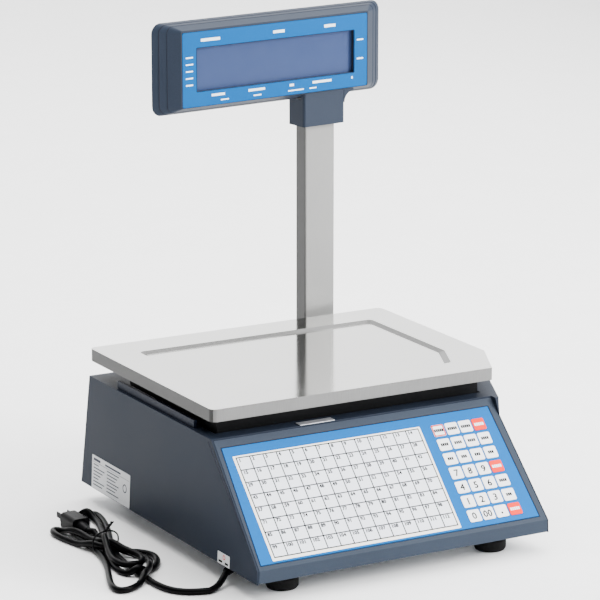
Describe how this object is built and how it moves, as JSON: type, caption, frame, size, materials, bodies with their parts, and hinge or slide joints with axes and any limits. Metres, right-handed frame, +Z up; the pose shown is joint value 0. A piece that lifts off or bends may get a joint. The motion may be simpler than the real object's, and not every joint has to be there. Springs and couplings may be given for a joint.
{
  "type": "label printing scale",
  "caption": "Counter scale with a stainless pan, sloped keypad panel, built-in label printer behind a side door, and a pole display that turns on its column; mains cord lies bundled beside it",
  "frame": {"origin": "centre of the footprint of the scale without its cord, on the floor under the feet", "axes": "+Z up; the sloped keypad faces -Y; +X is to the right of a person who faces the keypad"},
  "size_m": [0.5226, 0.4518, 0.5402],
  "materials": {
    "housing": "fine textured slate-blue paint",
    "bezel": "satin grey-blue plastic",
    "keypad_film": "printed polyester film, bright blue",
    "sheet_metal": "zinc-plated sheet",
    "pan_steel": "satin stainless steel",
    "alloy": "machined",
    "carrier": "black, slightly rough",
    "board": "green circuit board",
    "printer": "dark powder coat",
    "head_ceramic": "heat sink of the print head",
    "rubber": "black rubber",
    "gear": "natural acetal",
    "paper": "label paper",
    "column": "light satin tube",
    "display": "display glass, grey-blue",
    "black_plastic": "black plastic",
    "cord_jacket": "black cord jacket",
    "screw": "plated steel",
    "key_white": "white printed cap",
    "key_red": "red printed cap"
  },
  "bodies": {
    "base": {"base_plate": "sheet_metal", "housing": "housing", "front_bezel": "bezel", "keypad_overlay": "keypad_film", "load_cell": "alloy", "power_supply": "sheet_metal", "main_board": "board", "printer_frame": "printer", "drive_motor": "sheet_metal", "column_bracket": "housing", "screws": "screw", "cord_gland": "black_plastic", "cord_lead": "cord_jacket", "cord_hank": "cord_jacket", "cord_plug": "black_plastic"},
    "door": {"printer_door": "housing"},
    "head_arm": {"print_head": "head_ceramic"},
    "display": {"column_tube": "column", "head_rear": "housing", "head_front": "bezel", "display_module": "display"},
    "carrier": {"pan_carrier": "carrier"},
    "pan": {"pan": "pan_steel"},
    "platen": {"platen_roller": "rubber", "platen_gear": "gear"},
    "roll": {"label_roll": "paper"},
    "pinion": {"motor_gear": "gear"},
    "switch": {"power_switch": "black_plastic"},
    "foot1": {"foot_1": "rubber"},
    "foot2": {"foot_2": "rubber"},
    "foot3": {"foot_3": "rubber"},
    "foot4": {"foot_4": "rubber"},
    "b_key_1_1": {"key_1_1": "key_white"},
    "b_key_1_2": {"key_1_2": "key_white"},
    "b_key_1_3": {"key_1_3": "key_white"},
    "b_key_1_4": {"key_1_4": "key_red"},
    "b_key_2_1": {"key_2_1": "key_white"},
    "b_key_2_2": {"key_2_2": "key_white"},
    "b_key_2_3": {"key_2_3": "key_white"},
    "b_key_2_4": {"key_2_4": "key_white"},
    "b_key_3_1": {"key_3_1": "key_white"},
    "b_key_3_2": {"key_3_2": "key_white"},
    "b_key_3_3": {"key_3_3": "key_white"},
    "b_key_3_4": {"key_3_4": "key_white"},
    "b_key_4_1": {"key_4_1": "key_white"},
    "b_key_4_2": {"key_4_2": "key_white"},
    "b_key_4_3": {"key_4_3": "key_white"},
    "b_key_4_4": {"key_4_4": "key_red"},
    "b_key_5_1": {"key_5_1": "key_white"},
    "b_key_5_2": {"key_5_2": "key_white"},
    "b_key_5_3": {"key_5_3": "key_white"},
    "b_key_5_4": {"key_5_4": "key_white"},
    "b_key_6_1": {"key_6_1": "key_white"},
    "b_key_6_2": {"key_6_2": "key_white"},
    "b_key_6_3": {"key_6_3": "key_white"},
    "b_key_6_4": {"key_6_4": "key_white"},
    "b_key_7_1": {"key_7_1": "key_white"},
    "b_key_7_2": {"key_7_2": "key_white"},
    "b_key_7_3": {"key_7_3": "key_white"},
    "b_key_7_4": {"key_7_4": "key_red"}
  },
  "joints": [
    {"name": "door_swing", "type": "hinge", "parent": "base", "child": "door", "pos_m": [0.19422, 0.12659, 0.081], "axis": [0, 0, 1], "range_deg": [0, 100]},
    {"name": "print_head_lift", "type": "hinge", "parent": "base", "child": "head_arm", "pos_m": [0.15472, 0.04409, 0.107], "axis": [0, -1, 0], "range_deg": [0, 50]},
    {"name": "display_turn", "type": "hinge", "parent": "base", "child": "display", "pos_m": [0.11202, 0.20409, 0.1], "axis": [0, 0, 1], "range_deg": [-51.6, 38.4]},
    {"name": "pan_lift", "type": "slide", "parent": "carrier", "child": "pan", "axis": [0, 0, 1], "range_m": [0, 0.06]},
    {"name": "weighing", "type": "slide", "parent": "base", "child": "carrier", "axis": [0, 0, -1], "range_m": [0, 0.0005], "stiffness_N_per_m": 300000, "deforming": ["load_cell"]},
    {"name": "platen_turn", "type": "hinge", "parent": "base", "child": "platen", "pos_m": [0.17172, 0.04409, 0.086], "axis": [0, 1, 0], "continuous": true},
    {"name": "roll_turn", "type": "hinge", "parent": "base", "child": "roll", "pos_m": [0.11572, 0.04409, 0.076], "axis": [0, 1, 0], "continuous": true},
    {"name": "pinion_turn", "type": "hinge", "parent": "base", "child": "pinion", "pos_m": [0.17172, 0.08409, 0.0716], "axis": [0, 1, 0], "continuous": true},
    {"name": "switch_rock", "type": "hinge", "parent": "base", "child": "switch", "pos_m": [-0.18128, -0.11291, 0.026], "axis": [0, -1, 0], "range_deg": [0, 12]},
    {"name": "foot_1_level", "type": "slide", "parent": "base", "child": "foot1", "axis": [0, 0, -1], "range_m": [0, 0.008]},
    {"name": "foot_2_level", "type": "slide", "parent": "base", "child": "foot2", "axis": [0, 0, -1], "range_m": [0, 0.008]},
    {"name": "foot_3_level", "type": "slide", "parent": "base", "child": "foot3", "axis": [0, 0, -1], "range_m": [0, 0.008]},
    {"name": "foot_4_level", "type": "slide", "parent": "base", "child": "foot4", "axis": [0, 0, -1], "range_m": [0, 0.008]},
    {"name": "key_1_1_press", "type": "slide", "parent": "base", "child": "b_key_1_1", "axis": [0, 0.715, -0.6991], "range_m": [0, 0.00045], "stiffness_N_per_m": 1500},
    {"name": "key_1_2_press", "type": "slide", "parent": "base", "child": "b_key_1_2", "axis": [0, 0.715, -0.6991], "range_m": [0, 0.00045], "stiffness_N_per_m": 1500},
    {"name": "key_1_3_press", "type": "slide", "parent": "base", "child": "b_key_1_3", "axis": [0, 0.715, -0.6991], "range_m": [0, 0.00045], "stiffness_N_per_m": 1500},
    {"name": "key_1_4_press", "type": "slide", "parent": "base", "child": "b_key_1_4", "axis": [0, 0.715, -0.6991], "range_m": [0, 0.00045], "stiffness_N_per_m": 1500},
    {"name": "key_2_1_press", "type": "slide", "parent": "base", "child": "b_key_2_1", "axis": [0, 0.715, -0.6991], "range_m": [0, 0.00045], "stiffness_N_per_m": 1500},
    {"name": "key_2_2_press", "type": "slide", "parent": "base", "child": "b_key_2_2", "axis": [0, 0.715, -0.6991], "range_m": [0, 0.00045], "stiffness_N_per_m": 1500},
    {"name": "key_2_3_press", "type": "slide", "parent": "base", "child": "b_key_2_3", "axis": [0, 0.715, -0.6991], "range_m": [0, 0.00045], "stiffness_N_per_m": 1500},
    {"name": "key_2_4_press", "type": "slide", "parent": "base", "child": "b_key_2_4", "axis": [0, 0.715, -0.6991], "range_m": [0, 0.00045], "stiffness_N_per_m": 1500},
    {"name": "key_3_1_press", "type": "slide", "parent": "base", "child": "b_key_3_1", "axis": [0, 0.715, -0.6991], "range_m": [0, 0.00045], "stiffness_N_per_m": 1500},
    {"name": "key_3_2_press", "type": "slide", "parent": "base", "child": "b_key_3_2", "axis": [0, 0.715, -0.6991], "range_m": [0, 0.00045], "stiffness_N_per_m": 1500},
    {"name": "key_3_3_press", "type": "slide", "parent": "base", "child": "b_key_3_3", "axis": [0, 0.715, -0.6991], "range_m": [0, 0.00045], "stiffness_N_per_m": 1500},
    {"name": "key_3_4_press", "type": "slide", "parent": "base", "child": "b_key_3_4", "axis": [0, 0.715, -0.6991], "range_m": [0, 0.00045], "stiffness_N_per_m": 1500},
    {"name": "key_4_1_press", "type": "slide", "parent": "base", "child": "b_key_4_1", "axis": [0, 0.715, -0.6991], "range_m": [0, 0.00045], "stiffness_N_per_m": 1500},
    {"name": "key_4_2_press", "type": "slide", "parent": "base", "child": "b_key_4_2", "axis": [0, 0.715, -0.6991], "range_m": [0, 0.00045], "stiffness_N_per_m": 1500},
    {"name": "key_4_3_press", "type": "slide", "parent": "base", "child": "b_key_4_3", "axis": [0, 0.715, -0.6991], "range_m": [0, 0.00045], "stiffness_N_per_m": 1500},
    {"name": "key_4_4_press", "type": "slide", "parent": "base", "child": "b_key_4_4", "axis": [0, 0.715, -0.6991], "range_m": [0, 0.00045], "stiffness_N_per_m": 1500},
    {"name": "key_5_1_press", "type": "slide", "parent": "base", "child": "b_key_5_1", "axis": [0, 0.715, -0.6991], "range_m": [0, 0.00045], "stiffness_N_per_m": 1500},
    {"name": "key_5_2_press", "type": "slide", "parent": "base", "child": "b_key_5_2", "axis": [0, 0.715, -0.6991], "range_m": [0, 0.00045], "stiffness_N_per_m": 1500},
    {"name": "key_5_3_press", "type": "slide", "parent": "base", "child": "b_key_5_3", "axis": [0, 0.715, -0.6991], "range_m": [0, 0.00045], "stiffness_N_per_m": 1500},
    {"name": "key_5_4_press", "type": "slide", "parent": "base", "child": "b_key_5_4", "axis": [0, 0.715, -0.6991], "range_m": [0, 0.00045], "stiffness_N_per_m": 1500},
    {"name": "key_6_1_press", "type": "slide", "parent": "base", "child": "b_key_6_1", "axis": [0, 0.715, -0.6991], "range_m": [0, 0.00045], "stiffness_N_per_m": 1500},
    {"name": "key_6_2_press", "type": "slide", "parent": "base", "child": "b_key_6_2", "axis": [0, 0.715, -0.6991], "range_m": [0, 0.00045], "stiffness_N_per_m": 1500},
    {"name": "key_6_3_press", "type": "slide", "parent": "base", "child": "b_key_6_3", "axis": [0, 0.715, -0.6991], "range_m": [0, 0.00045], "stiffness_N_per_m": 1500},
    {"name": "key_6_4_press", "type": "slide", "parent": "base", "child": "b_key_6_4", "axis": [0, 0.715, -0.6991], "range_m": [0, 0.00045], "stiffness_N_per_m": 1500},
    {"name": "key_7_1_press", "type": "slide", "parent": "base", "child": "b_key_7_1", "axis": [0, 0.715, -0.6991], "range_m": [0, 0.00045], "stiffness_N_per_m": 1500},
    {"name": "key_7_2_press", "type": "slide", "parent": "base", "child": "b_key_7_2", "axis": [0, 0.715, -0.6991], "range_m": [0, 0.00045], "stiffness_N_per_m": 1500},
    {"name": "key_7_3_press", "type": "slide", "parent": "base", "child": "b_key_7_3", "axis": [0, 0.715, -0.6991], "range_m": [0, 0.00045], "stiffness_N_per_m": 1500},
    {"name": "key_7_4_press", "type": "slide", "parent": "base", "child": "b_key_7_4", "axis": [0, 0.715, -0.6991], "range_m": [0, 0.00045], "stiffness_N_per_m": 1500}
  ],
  "couplings": [
    {"joint": "pinion_turn", "follows": "platen_turn", "ratio": -2},
    {"joint": "roll_turn", "follows": "platen_turn", "ratio": 0.14286}
  ]
}
